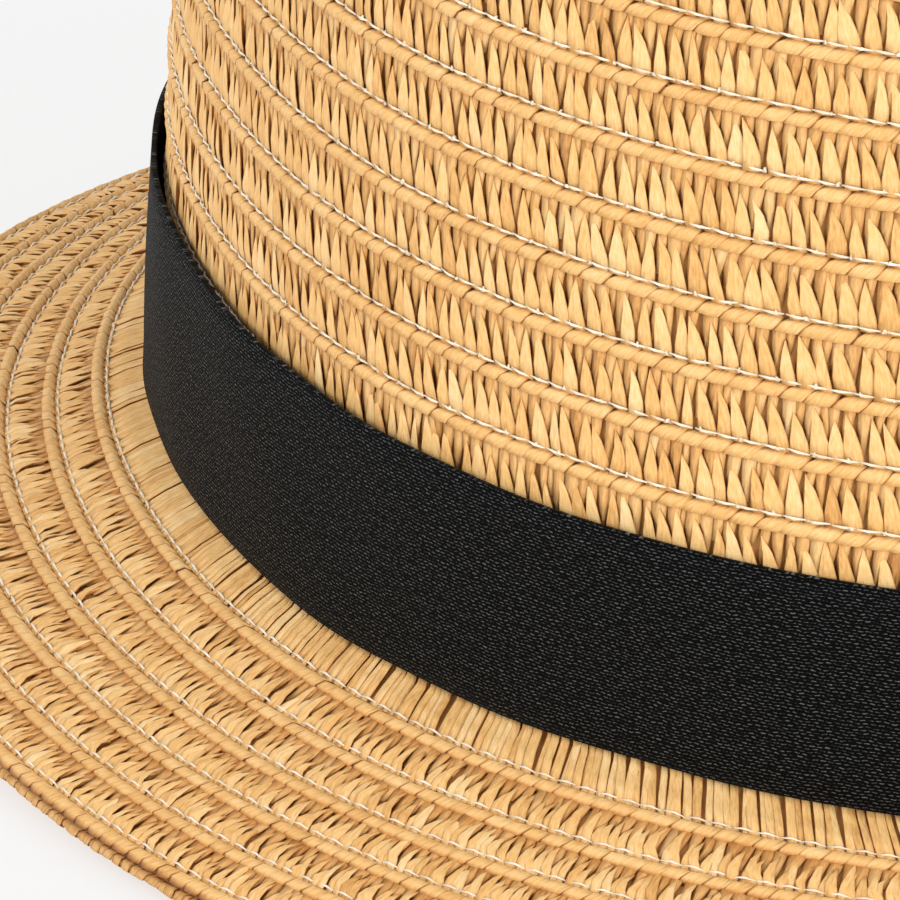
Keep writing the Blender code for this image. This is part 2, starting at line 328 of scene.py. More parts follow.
class Strands:
    """Closed strands gathered for one piece: points, uv, tint and faces."""

    def __init__(self):
        self.points, self.uv, self.tint, self.faces, self.count = [], [], [], [], 0

    def add(self, row, along, across, rise, uv, tint, shade, seam):
        """Strands on a row, in the row's own directions.

        The distance along is an array of (strands, stations, 4), and the rest spread to it. The
        tint holds each strand's own tone, its painted shade, and how near a point is to a seam,
        where the painted shade grows darker.
        """
        count, stations = along.shape[:2]
        self.points.append(row.place(along, across, rise).reshape(-1, 3))
        self.uv.append(uv.reshape(-1, 2))
        tones = np.broadcast_arrays(tint[:, None, None], shade, seam, along)[:3]
        self.tint.append(np.stack(tones, -1).reshape(-1, 3))
        self.faces.append(strand_faces(count, stations) + self.count)
        self.count += along.size

    def piece(self, name, material):
        """The gathered strands as one mesh, with sharp side edges."""
        made = mesh_piece(name, np.concatenate(self.points), [np.concatenate(self.faces)],
                          material, np.concatenate(self.uv), np.concatenate(self.tint))
        sharpen_strands(made.data)
        return made


# The four corners of a strand's section: left edge, crest, right edge and underside.
CORNER_SIDE = np.array([-1.0, 0.0, 1.0, 0.0])
CORNER_CREST = np.array([0.0, 1.0, 0.0, 0.0])
CORNER_UNDER = np.array([0.0, 0.0, 0.0, 1.0])
ONE = (slice(None), None, None)        # spreads a value of each strand over its points
FIBRE_RUN = 40               # a strand's fibres start somewhere in this many millimetres


def some(value, spread, count):
    """A value with a seeded normal spread, given as a share of it."""
    return value * (1 + RANDOM.normal(0, spread, count))


def even_places(row, step, stray):
    """What repeats along a row at about this step: its count, its true step and its places.

    Each place strays from an even one by a seeded share of the step.
    """
    count = int(round(row.total / step))
    step = row.total / count
    return count, step, (np.arange(count) + RANDOM.normal(0, stray, count)) * step


def fibre_uv(half, down, count):
    """Uv in millimetres across and down each strand, from a seeded start of its own."""
    start = RANDOM.uniform(0, FIBRE_RUN, count)[ONE]
    return np.stack(np.broadcast_arrays(half * CORNER_SIDE / MM + 3 * start, down + start), -1)


def add_leaves(strands, row, root, foot, head, lean, width, form, lift, crown, under,
               bend, tint, shade):
    """Flat leaves of straw.

    At a share t of its length a leaf's middle lies at root + lean * t + 4 * bend * t * (1 - t)
    along the row and at foot + t * (head - foot) across it. Its half width is half the width
    times the form at t. It lies at the lift at t, tilted a little to one side, with a low crest
    on top and its underside below.
    """
    t = np.linspace(0, 1, len(form))[None, :, None]
    form = np.asarray(form)[None, :, None]
    half = width[ONE] / 2 * form
    along = root[ONE] + lean[ONE] * t + bend[ONE] * t * (1 - t) * 4 + half * CORNER_SIDE
    across = foot[ONE] + t * (head - foot)[ONE]
    rise = np.asarray(lift)[None, :, None] + crown * form * CORNER_CREST - under * CORNER_UNDER
    tilt = RANDOM.normal(-0.05 * MM, 0.07 * MM, len(root))[ONE]
    rise = rise + RANDOM.normal(0, 0.05 * MM, len(root))[ONE] + tilt * form * CORNER_SIDE
    uv = fibre_uv(half, t * np.abs(head - foot)[ONE] / MM, len(root))
    strands.add(row, along, across, rise, uv, tint, np.asarray(shade)[None, :, None],
                np.abs(CORNER_SIDE))


# The leaves of one unit. Rising ones: root and lean along the row, width, share of the height,
# bend. Hanging ones: head and lean along the row, width, share of the row's width at the foot.
# Lengths are in millimetres. The foot is the brim's first row, in the hollow at the crown's
# foot, where a hanging leaf would stand off the curve.
WALL_RISING = ((0.95, -0.60, 1.85, 0.88, 0.10), (2.85, -1.10, 2.00, 0.95, 0.22))
WALL_HANGING = ((0.85, 0.40, 1.60, 0.34), (2.20, 0.65, 1.70, 0.16), (3.60, 0.30, 1.75, 0.08))
BRIM_RISING = ((0.45, 0.25, 1.18, 0.90, -0.34), (1.42, 0.10, 1.32, 1.0, -0.48),
               (2.40, 0.30, 1.18, 0.88, -0.30), (3.38, 0.15, 1.32, 0.96, -0.44))
BRIM_HANGING = ((0.75, 0.50, 1.75, 0.30), (2.05, 0.70, 1.85, 0.22), (3.40, 0.60, 1.80, 0.32))
FOOT_RISING = ((0.45, -2.60, 0.98, 1.0, 0.06), (1.42, -2.40, 1.12, 1.0, -0.04),
               (2.40, -2.70, 1.00, 1.0, 0.08), (3.38, -2.45, 1.14, 1.0, 0.02))

# The width along a leaf, from its foot to its head, as shares of its own width.
POINTED = (1.0, 0.90, 0.56, 0.07)
STRAIGHT = (1.0, 0.95, 0.90, 0.80)
NARROW_FOOT = (0.48, 1.0)

# How a row is braided: its rising leaves, its hanging leaves, the width along a rising leaf, how
# far the leaves stray and the painted shade of the hanging heads, which lie in shade under the
# next cord, darker on the brim.
WALL_BRAID = (WALL_RISING, WALL_HANGING, POINTED, 1.0, 0.92)
BRIM_BRAID = (BRIM_RISING, BRIM_HANGING, POINTED, 1.7, 0.66)
FOOT_BRAID = (FOOT_RISING, (), STRAIGHT, 0.8, 0.66)

LEAF_CREST = 0.12 * MM
RISING_LIFT = (-0.20 * MM, 0.02 * MM, -0.04 * MM, -0.18 * MM)
RISING_THICK = 0.42 * MM
# Painted shade: a rising leaf is a little darker at its root by the thread.
RISING_PAINTED_SHADE = (0.97, 1.0, 1.0, 1.0)
ROOT_UNDER = 0.30 * MM       # a rising leaf starts this far below the thread
HEAD_TUCK = 0.25 * MM        # and one of full height ends this far under the next cord
TALLEST = 7.2 * MM           # but no higher than this
HANGING_LIFT = (-0.40 * MM, -0.12 * MM)
HANGING_THICK = 0.36 * MM
HEAD_SHORT = 0.7 * MM        # a hanging leaf starts this far short of the next thread


def add_plait(strands, row, rising, hanging, form, stray, top):
    """The plait of one row: leaves that rise from the thread and touch at their roots, and
    leaves behind them that come down from under the next cord and narrow downwards.

    The form is the width along a rising leaf, the stray scales how far the leaves differ, and
    top is the painted shade of the hanging heads, where they lie in shade under the next cord.
    """
    count, step, slot = even_places(row, UNIT, 0.03)
    tall = np.minimum(row.width - CORD_REACH + HEAD_TUCK, TALLEST)
    size = step / UNIT
    zero = np.zeros(count)
    for root, lean, wide, high, bend in rising:
        add_leaves(strands, row, slot + root * size * MM + RANDOM.normal(0, 0.13 * MM, count),
                   zero - ROOT_UNDER, some(tall * high, 0.08 * stray, count),
                   lean * MM + RANDOM.normal(0, 0.22 * stray * MM, count),
                   some(wide * size * MM, 0.10, count), form, RISING_LIFT, LEAF_CREST,
                   RISING_THICK, bend * MM + RANDOM.normal(0, 0.12 * stray * MM, count),
                   RANDOM.normal(0.58, 0.12, count), RISING_PAINTED_SHADE)
    tall = row.width - HEAD_SHORT
    # Hanging leaves lie behind the rising ones: painted shade makes them darker, with a lower tone
    # than the rising leaves' and a shade of 0.88 at the foot and top at the head.
    for head, lean, wide, foot in hanging:
        add_leaves(strands, row, slot + (head - lean) * size * MM,
                   some(foot * tall, 0.2, count), zero + tall,
                   lean * MM + RANDOM.normal(0, 0.20 * MM, count),
                   some(wide * size * MM, 0.12, count), NARROW_FOOT, HANGING_LIFT, LEAF_CREST,
                   HANGING_THICK, zero, RANDOM.normal(0.50, 0.12, count), (0.88, top))


# A strap at four places, from its tail under the cord to its end by the thread: its width, its
# painted shade, darkest at the tail that lies in shade under the cord, and how near its edges
# come to the seam, where painted shade darkens it.
STRAP_SWELL = np.array([1.02, 1.14, 1.14, 1.02])[None, :, None]
STRAP_PAINTED_SHADE = np.array([0.30, 0.91, 1.0, 0.92])[None, :, None]
STRAP_SEAM = np.array([1.06, 1.0, 0.95, 1.0])[None, :, None]
STRAP_RADIUS = np.array([0.89, 1.0, 0.89, 0.39])   # at its corners, as shares of the cord's
STRAP_LONG = 2.6             # round the cord, in millimetres


def add_cord(strands, row, middle, sunk, radius, wrap, seam, first, last, slant, ragged=0.0):
    """The row's corded selvage, as straps of straw wrapped round it.

    A strap turns round the cord from the first angle to the last, with 0 straight out and 90
    degrees towards the thread, and shifts along the row by the slant on the way. Its edges lie
    a little under its crest and touch the next strap's in a sloping seam, where painted shade
    darkens them, and its tail under the cord has painted shade as well. The seam scales how far
    that painted shade reaches. A ragged cord's straps differ more.
    """
    count, step, root = even_places(row, wrap, 0.04 + ragged * 0.2)
    t = np.linspace(0, 1, STRAP_PAINTED_SHADE.size)[None, :, None]
    turn = np.radians(first + (last - first) * t)
    stray = RANDOM.normal(0, 0.08 + ragged * 0.3, count)[ONE]
    half = step / 2 * STRAP_SWELL * (1 + RANDOM.normal(0, 0.04 + ragged * 0.1, count)[ONE])
    along = root[ONE] + slant * (1 + stray) * (t - 0.5) + half * CORNER_SIDE
    thick = 1 + RANDOM.normal(0, 0.02 + ragged * 0.07, count)[ONE]
    reach = radius * thick * STRAP_RADIUS
    uv = fibre_uv(half, t * STRAP_LONG, count)
    strands.add(row, along, middle + reach * np.sin(turn), sunk + reach * np.cos(turn), uv,
                RANDOM.normal(0.56, 0.06, count), STRAP_PAINTED_SHADE,
                seam * STRAP_SEAM * (1.0 - CORNER_CREST))


# A stitch at its two ends and its middle: its thickness, its height in millimetres, its painted
# shade, darker at the ends where it sinks into the straw.
STITCH_THICK = np.array([0.60, 1.05, 0.60])[None, :, None]
STITCH_ARCH = np.array([-0.10, 0.13, -0.10])[None, :, None]
STITCH_PAINTED_SHADE = np.array([0.80, 1.0, 0.80])[None, :, None]


def add_stitches(strands, row, thickness, share):
    """The machine's thread: short stitches in a line, each end drawn down into the straw.

    A stitch fills the given share of its step.
    """
    count, step, root = even_places(row, STITCH, 0.04)
    t = np.linspace(0, 1, STITCH_PAINTED_SHADE.size)[None, :, None]
    corner = np.array([[-1, 0], [0, 1], [1, 0], [0, -1]], float)
    thick = thickness * STITCH_THICK
    tilt = RANDOM.normal(0.03 * MM, 0.05 * MM, count)[ONE]
    along = root[ONE] + (t - 0.5) * (step * share) + 0 * corner[:, 0]
    across = 0.05 * MM + tilt * (0.5 - t) * 2 - thick * corner[:, 0]
    rise = STITCH_ARCH * MM + thick * corner[:, 1]
    uv = np.stack([corner[:, 0] + 0 * along, (along - root[ONE]) / MM], -1)
    strands.add(row, along, across, rise, uv, RANDOM.normal(0.5, 0.12, count), STITCH_PAINTED_SHADE, 0.0)


def add_tufts(strands, row):
    """Short blunt tufts, one to a unit of the plait, where the needle pulled up a little fluff."""
    count = int(row.total / UNIT)
    root = (np.arange(count) + RANDOM.normal(0, 0.08, count)) * row.total / count
    foot = np.full(count, -0.12 * MM)
    head = RANDOM.uniform(0.15, 0.42, count) * MM
    lean = RANDOM.normal(0, 0.12 * MM, count)
    width = some(0.46 * MM, 0.25, count)
    tone = RANDOM.normal(0.20, 0.12, count)
    add_leaves(strands, row, root, foot, head, lean, width, (1.0, 0.55),
               (0.06 * MM, 0.05 * MM), 0.07 * MM, 0.16 * MM, np.zeros(count), tone, (1.0, 1.0))


BACK_BEND = 0.3              # a strand at the back has a station for this much bend, in radians
BACK_LEAN = 1.5 * MM


def add_inside(strands, row, depth):
    """The back of the plait as it shows inside the crown and under the brim.

    One flat slanting strand every half unit, with its crest towards the head. Its section is
    turned half round, so its faces still point outwards.
    """
    count, step, root = even_places(row, UNIT / 2, 0.06)
    t = np.linspace(0, 1, 2 + int(row.bend() / BACK_BEND))[None, :, None]
    foot, head = -0.9 * MM, row.width - 1.5 * MM
    lean = some(BACK_LEAN, 0.1, count)[ONE]
    along = root[ONE] + lean * (0.5 - t) - step / 2 * CORNER_SIDE
    across = foot + (head - foot) * t
    rise = -depth + 0.30 * MM * CORNER_UNDER - 0.22 * MM * CORNER_CREST
    uv = fibre_uv(step / 2, t * (head - foot) / MM, count)
    # A little painted shade, 0.92, darkens the whole back of the plait.
    strands.add(row, along, across, rise, uv, RANDOM.normal(0.46, 0.09, count), 0.92,
                np.abs(CORNER_SIDE))


ROUND = 96                   # stations round the oval of a backing shell
SHELL_STEP = 1.6 * MM        # from one station of its profile to the next


def backing(name, outer, inner, material):
    """A thin closed shell behind the strands: the outer profile and the inner one, joined.

    The profile, a loop of offsets and heights, is swept round the oval. A profile that reaches
    the middle of the tip closes there in one point on each side.
    """
    loop = np.concatenate([outer, inner[::-1]])
    angles = np.arange(ROUND) * 2 * np.pi / ROUND
    points = swept_point(loop[:, :1], loop[:, 1:], angles[None, :]).reshape(-1, 3)
    ring, seat = np.meshgrid(np.arange(len(loop)), np.arange(ROUND), indexing="ij")
    after, above = (seat + 1) % ROUND, (ring + 1) % len(loop)
    quads = np.stack([ring * ROUND + seat, ring * ROUND + after,
                      above * ROUND + after, above * ROUND + seat], -1)
    faces = [quads.reshape(-1, 4)]
    if np.isclose(outer[-1, 0], -THREAD_LINE):
        turn = len(outer) - 1
        crest, floor = np.full(ROUND, turn * ROUND), np.full(ROUND, (turn + 1) * ROUND)
        top = np.stack([quads[turn - 1, :, 0], quads[turn - 1, :, 1], crest], -1)
        low = np.stack([floor, quads[turn + 1, :, 2], quads[turn + 1, :, 3]], -1)
        kept = np.concatenate([quads[:turn - 1], quads[turn + 2:]]).reshape(-1, 4)
        faces = [kept, np.concatenate([top, low])]
    used = np.unique(np.concatenate([group.ravel() for group in faces]))
    fresh = np.zeros(len(points), int)
    fresh[used] = np.arange(len(used))
    # Every point of the shell has tone 0.50 and a little painted shade, 0.90.
    return mesh_piece(name, points[used], [fresh[group] for group in faces], material,
                      np.zeros((len(used), 2)), np.full((len(used), 3), (0.50, 0.90, 0.0)))


def line_profile(first, last, steps, rise):
    """Offsets and heights along the thread line, from one length to another, at a rise."""
    return np.stack(LINE.at(np.linspace(first, last, steps), np.full(steps, rise)), 1)


# Finishes.
def new_finish(name):
    """A material with its nodes, links and shader."""
    material = bpy.data.materials.new(name)
    material.use_nodes = True
    nodes, links = material.node_tree.nodes, material.node_tree.links
    return material, nodes, links, nodes["Principled BSDF"]


def math_node(nodes, links, operation, *values):
    """A Math node whose inputs are numbers or sockets."""
    node = nodes.new("ShaderNodeMath")
    node.operation = operation
    for socket, value in zip(node.inputs, values):
        if isinstance(value, (int, float)):
            socket.default_value = value
        else:
            links.new(value, socket)
    return node.outputs[0]


def colour_ramp(nodes, links, factor, stops):
    """A ramp through linear colours at their places."""
    ramp = nodes.new("ShaderNodeValToRGB")
    while len(ramp.color_ramp.elements) < len(stops):
        ramp.color_ramp.elements.new(0.5)
    for element, (place, colour) in zip(ramp.color_ramp.elements, stops):
        element.position = place
        element.color = (*colour, 1.0)
    links.new(factor, ramp.inputs[0])
    return ramp.outputs[0]


def bump_node(nodes, links, height, strength, distance, shader):
    """A bump from a height socket to the shader's normal."""
    bump = nodes.new("ShaderNodeBump")
    bump.inputs["Strength"].default_value = strength
    bump.inputs["Distance"].default_value = distance
    links.new(height, bump.inputs["Height"])
    links.new(bump.outputs[0], shader.inputs["Normal"])


# Painted shade at the seams between strands and along the edges of leaves: how thin a line it
# makes and how much it darkens.
SEAM_POWER = 12.0            # a high power keeps the dark line at a seam thin
SEAM_PAINTED_SHADE = 0.60


def tone_and_painted_shade(nodes, links):
    """The strand's own tone and its painted shade, from the tint attribute, darker close to a
    seam, where the groove between strands lies in shade.

    The painted shade drops by a share of a high power of the nearness to the seam.
    """
    tint = nodes.new("ShaderNodeAttribute")
    tint.attribute_name = "tint"
    parts = nodes.new("ShaderNodeSeparateColor")
    links.new(tint.outputs["Color"], parts.inputs[0])
    seam = math_node(nodes, links, "POWER", parts.outputs[2], SEAM_POWER)
    shade = math_node(nodes, links, "MULTIPLY_ADD", seam, -SEAM_PAINTED_SHADE, parts.outputs[1])
    return parts.outputs[0], shade


def own_uv(nodes):
    """The piece's own uv, in millimetres across and along a strand."""
    place = nodes.new("ShaderNodeUVMap")
    place.uv_map = "along"
    return place.outputs[0]


# Painted shade: the colour that multiplies the straw, from dark brown where the painted shade is
# deepest to white where there is none.
PAINTED_SHADE_STOPS = [(0.0, (0.20, 0.09, 0.03)), (0.5, (0.60, 0.41, 0.24)), (1.0, (1.0, 1.0, 1.0))]


def straw_finish(name, stops, roughness):
    """Paper straw: own tone, fine fibres, and painted shade that darkens edges and seams."""
    material, nodes, links, shader = new_finish(name)
    tone, shade = tone_and_painted_shade(nodes, links)
    stretch = nodes.new("ShaderNodeMapping")
    stretch.inputs["Scale"].default_value = (3.6, 0.8, 1.0)
    links.new(own_uv(nodes), stretch.inputs[0])
    fibre = nodes.new("ShaderNodeTexNoise")
    fibre.inputs["Scale"].default_value = 1.0
    fibre.inputs["Detail"].default_value = 3.0
    links.new(stretch.outputs[0], fibre.inputs["Vector"])
    where = nodes.new("ShaderNodeTexCoord")
    patch = nodes.new("ShaderNodeTexNoise")
    patch.inputs["Scale"].default_value = 160.0
    links.new(where.outputs["Object"], patch.inputs["Vector"])
    streak = math_node(nodes, links, "MULTIPLY_ADD", fibre.outputs[0], 1.10, -0.55)
    cloud = math_node(nodes, links, "MULTIPLY_ADD", patch.outputs[0], 0.30, -0.15)
    mixed = math_node(nodes, links, "ADD", tone, streak)
    mixed = math_node(nodes, links, "ADD", mixed, cloud)
    colour = colour_ramp(nodes, links, mixed, stops)
    # Painted shade from the tint multiplies the straw's colour.
    shade_colour = colour_ramp(nodes, links, shade, PAINTED_SHADE_STOPS)
    shaded = nodes.new("ShaderNodeMix")
    shaded.data_type = "RGBA"
    shaded.blend_type = "MULTIPLY"
    shaded.inputs["Factor"].default_value = 1.0
    links.new(colour, shaded.inputs["A"])
    links.new(shade_colour, shaded.inputs["B"])
    links.new(shaded.outputs["Result"], shader.inputs["Base Color"])
    shader.inputs["Roughness"].default_value = roughness
    shader.inputs["Specular IOR Level"].default_value = 0.30
    bump_node(nodes, links, fibre.outputs[0], 0.6, 0.20 * MM, shader)
    return material


def thread_finish():
    """Off-white sewing thread with the slanting ridges of its plies."""
    material, nodes, links, shader = new_finish("sewing_thread")
    tone, _ = tone_and_painted_shade(nodes, links)
    wave = nodes.new("ShaderNodeTexWave")
    wave.bands_direction = "DIAGONAL"
    wave.inputs["Scale"].default_value = 1.1
    links.new(own_uv(nodes), wave.inputs["Vector"])
    mixed = math_node(nodes, links, "MULTIPLY_ADD", wave.outputs[1], 0.35, -0.10)
    mixed = math_node(nodes, links, "ADD", mixed, tone)
    colour = colour_ramp(nodes, links, mixed, [(0.0, (0.70, 0.52, 0.32)),
                                               (0.45, (0.86, 0.76, 0.58)),
                                               (1.0, (0.95, 0.90, 0.78))])
    links.new(colour, shader.inputs["Base Color"])
    shader.inputs["Roughness"].default_value = 0.55
    bump_node(nodes, links, wave.outputs[1], 0.3, 0.1 * MM, shader)
    return material


FLOAT_LONG = 0.78            # one float of the satin and the gap after it, in mm along the band
PICK = 0.34                  # one pick to the next across the band, in mm
SATIN_STEP = 0.381           # share of a float by which each pick is set on from the last
PICK_STRAY = 0.55            # a pick wanders by this share of the noise, in mm
RIDGE_POWER = 2.5            # how narrow a pick's ridge is
RIDGE_SCALE = 5.6            # brings a ridge's crest to about one
FLOAT_RISE = 4.2             # how fast a float rises from its two ends
UNEVEN = (3.0, -0.60)        # gain and shift of the noise by which the floats gleam more or less
SATIN_ROUGH = 0.80
GLEAM_SMOOTH = 0.45          # a float that gleams is this much smoother
# Base colour from black to grey as a float gleams more: a painted highlight on the black floats,
# besides their smoother roughness. The noise that makes floats gleam unevenly varies this painted
# highlight too.
SATIN_HIGHLIGHT_STOPS = [(0.0, (0.0010, 0.0010, 0.0010)), (0.30, (0.002, 0.002, 0.002)),
               (0.55, (0.030, 0.032, 0.031)), (0.95, (0.125, 0.130, 0.128))]


def ribbon_finish():
    """Black satin: picks across the band, each a row of short shining floats set on in turn."""
    material, nodes, links, shader = new_finish("black_satin")
    place = own_uv(nodes)
    parts = nodes.new("ShaderNodeSeparateXYZ")
    links.new(place, parts.inputs[0])
    stray = nodes.new("ShaderNodeTexNoise")
    stray.inputs["Scale"].default_value = 0.8
    links.new(place, stray.inputs["Vector"])
    across = math_node(nodes, links, "MULTIPLY_ADD", stray.outputs[0], PICK_STRAY,
                       parts.outputs[1])
    pick = math_node(nodes, links, "DIVIDE", across, PICK)
    number = math_node(nodes, links, "FLOOR", pick)
    inside = math_node(nodes, links, "FRACT", pick)
    run = math_node(nodes, links, "DIVIDE", parts.outputs[0], FLOAT_LONG)
    run = math_node(nodes, links, "MULTIPLY_ADD", number, SATIN_STEP, run)
    share = math_node(nodes, links, "FRACT", run)
    ridge = math_node(nodes, links, "PINGPONG", inside, 0.5)
    ridge = math_node(nodes, links, "POWER", ridge, RIDGE_POWER)
    length = math_node(nodes, links, "PINGPONG", share, 0.5)
    length = math_node(nodes, links, "MULTIPLY", length, FLOAT_RISE)
    length = math_node(nodes, links, "MINIMUM", length, 1.0)
    height = math_node(nodes, links, "MULTIPLY", ridge, length)
    height = math_node(nodes, links, "MULTIPLY", height, RIDGE_SCALE)
    luck = nodes.new("ShaderNodeTexNoise")
    luck.inputs["Scale"].default_value = 1.7
    luck.inputs["Detail"].default_value = 3.0
    links.new(place, luck.inputs["Vector"])
    uneven = math_node(nodes, links, "MULTIPLY_ADD", luck.outputs[0], *UNEVEN)
    gleam = math_node(nodes, links, "MULTIPLY", height, uneven)
    # Painted highlight: the gleam lightens the base colour of the black floats.
    colour = colour_ramp(nodes, links, gleam, SATIN_HIGHLIGHT_STOPS)
    links.new(colour, shader.inputs["Base Color"])
    shine = math_node(nodes, links, "MINIMUM", gleam, 1.0)
    rough = math_node(nodes, links, "MULTIPLY_ADD", shine, -GLEAM_SMOOTH, SATIN_ROUGH)
    links.new(rough, shader.inputs["Roughness"])
    shader.inputs["Specular IOR Level"].default_value = 0.06
    shader.inputs["Sheen Weight"].default_value = 0.015
    shader.inputs["Sheen Roughness"].default_value = 0.4
    bump_node(nodes, links, height, 0.6, 0.08 * MM, shader)
    return material


STRAW_STOPS = [(0.0, (0.53, 0.236, 0.062)), (0.35, (0.755, 0.415, 0.136)),
               (0.60, (0.86, 0.52, 0.197)), (1.0, (0.93, 0.67, 0.34))]
EDGE_STOPS = [(0.0, (0.42, 0.18, 0.05)), (0.35, (0.62, 0.32, 0.10)),
              (0.60, (0.74, 0.43, 0.16)), (1.0, (0.84, 0.57, 0.27))]
# The backing shows only in the slits between the leaves: its straw is darker and more orange than
# the plait's, as painted shade in the slits.
BACKING_SHADE_STOPS = [(0.0, (0.60, 0.30, 0.09)), (1.0, (0.82, 0.46, 0.16))]

straw = straw_finish("paper_straw", STRAW_STOPS, 0.58)
edge_straw = straw_finish("edge_straw", EDGE_STOPS, 0.65)
shaded_back_straw = straw_finish("backing_shaded_straw", BACKING_SHADE_STOPS, 0.80)
thread = thread_finish()
satin = ribbon_finish()


# The straw body.
SHELL_DEPTHS = {"brim": (0.62 * MM, 1.15 * MM), "side": (0.70 * MM, 2.3 * MM),
                "tip": (0.68 * MM, 1.15 * MM)}
SHELL_LAP = 1.4 * MM         # a shell of the crown starts this far before its first thread
BRIM_TUCK = 3 * MM           # the brim's shell runs on this far behind the wall
SIDE_TUCK = 0.6 * MM         # and the wall's this far behind the tip's first row
BACK_GAP = 0.1 * MM          # from a shell to the back of the plait
STRAP_TURN = (-100, 78)      # first and last angle of a strap
STRAP_SLANT = 1.9 * MM


def shell_outline(region):
    """First and last length of a region's backing shell, and the depths of its two faces."""
    rows = [row for row in ROWS if row.region == region]
    first, last = rows[0].start - SHELL_LAP, rows[-1].start + rows[-1].width
    if region == "brim":
        first, last = LINE.on_brim(BRIM_END), last + BRIM_TUCK
    elif region == "side":
        last = last + SIDE_TUCK
    else:
        last = LINE.length[-1]
    return first, last, *SHELL_DEPTHS[region]


def braid_of(row):
    """How a row is braided: on the crown, on the brim, or at the crown's foot."""
    if row.region != "brim":
        return WALL_BRAID
    return FOOT_BRAID if row.start > LINE.on_brim(FIRST_ROW + BRIM_ROW / 2) else BRIM_BRAID


def straw_region(region, node):
    """A region's pieces: its backing shell, plait, cords, stitches and the back of the plait."""
    first, last, near, far = shell_outline(region)
    steps = int((last - first) / SHELL_STEP)
    shell = backing(region + "_backing", line_profile(first, last, steps, -near),
                    line_profile(first, last, steps, -far), shaded_back_straw)
    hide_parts(node)
    # The seam sets how far the painted shade at the straps' seams reaches.
    wrap, seam, shown = (BRIM_WRAP, 1.09, 0.96) if region == "brim" else (WRAP, 1.10, 0.99)
    plait, cords, stitches, inside = Strands(), Strands(), Strands(), Strands()
    for row in ROWS:
        if row.region != region:
            continue
        add_plait(plait, row, *braid_of(row))
        add_cord(cords, row, -CORD_MIDDLE, CORD_PROUD - CORD_RADIUS, CORD_RADIUS, wrap, seam,
                 *STRAP_TURN, STRAP_SLANT)
        add_stitches(stitches, row, THREAD_THICK * shown, shown)
        if region == "side":
            add_tufts(stitches, row)
        add_inside(inside, row, far + BACK_GAP)
    made = [shell, plait.piece(region + "_plait", straw), cords.piece(region + "_cords", straw),
            stitches.piece(region + "_stitches", thread),
            inside.piece(region + "_inside", straw)]
    for piece in made:
        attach(piece, "root")


EDGE_CLEAR = 0.1 * MM        # the edge's shell keeps this far off its seat and over the rest
EDGE_DEEP = 1.0 * MM         # its lower face lies this far below its seat
EDGE_HEART = 0.72            # radius of the heart, as a share of the edge cord's
EDGE_WRAP = 0.95 * MM
EDGE_TURN = (-88, 120)
EDGE_SLANT = 1.0 * MM
EDGE_RAGGED = 1.6


def edge_braid():
    """The second braid under the brim's edge: a thin shell with a heart, and its rough cord."""
    start = EDGE_CORD - EDGE_WIDTH
    seat = BRIM_WALL + FIT_GAP
    under = np.linspace(start, REST_START, 8)
    top = np.stack([under, brim_line(under) - seat - EDGE_CLEAR], 1)
    low = np.stack([under, brim_line(under) - seat - EDGE_DEEP], 1)
    low[:, 1] = np.maximum(low[:, 1], REST_HEIGHT + EDGE_CLEAR)
    turn = np.radians(np.linspace(110, -80, 7))
    inner = EDGE_HEART * EDGE_CORD_RADIUS
    heart = np.stack([EDGE_CORD + inner * np.cos(turn),
                      REST_HEIGHT + EDGE_CORD_RADIUS + inner * np.sin(turn)], 1)
    shell = backing("edge_backing", np.concatenate([top, heart])[::-1], low[::-1], shaded_back_straw)
    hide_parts("brim_edge")
    cords = Strands()
    add_cord(cords, EdgeRow(), 0.0, 0.0, EDGE_CORD_RADIUS, EDGE_WRAP, 1.06, *EDGE_TURN,
             EDGE_SLANT, EDGE_RAGGED)
    cord = cords.piece("edge_cord", edge_straw)
    for piece in (shell, cord):
        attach(piece, "root")


straw_region("brim", "brim")
straw_region("side", "crown_side")
straw_region("tip", "crown_tip")
edge_braid()

# The ribbon.
BAND_THICK = 0.55 * MM
BAND_LAP = 3 * 2 * np.pi / 52          # as the solid's: 3 of the 52 steps of its sweep
BAND_INNER = CORD_PROUD + FIT_GAP
BAND_CLEAR = 0.25 * MM       # the sheet's middle stands this far off its inner line
BAND_INSET = 0.25 * MM       # each edge lies this far inside the solid's
BAND_FLARE = 0.75 * MM       # the lower edge stands out this much more than the upper
BAND_SWELL = 0.18 * MM
BAND_SLACK = 0.10 * MM
BAND_RIPPLE = 0.12 * MM      # rise and fall of both edges
BAND_OVER = 1.05 * MM        # the outer end stands this far over the layer below
LOOSE_TURN = np.radians(168)
LOOSE_OUT = 0.9 * MM         # the lower edge stands off this much where it is loosest
LOOSE_POWER = 6


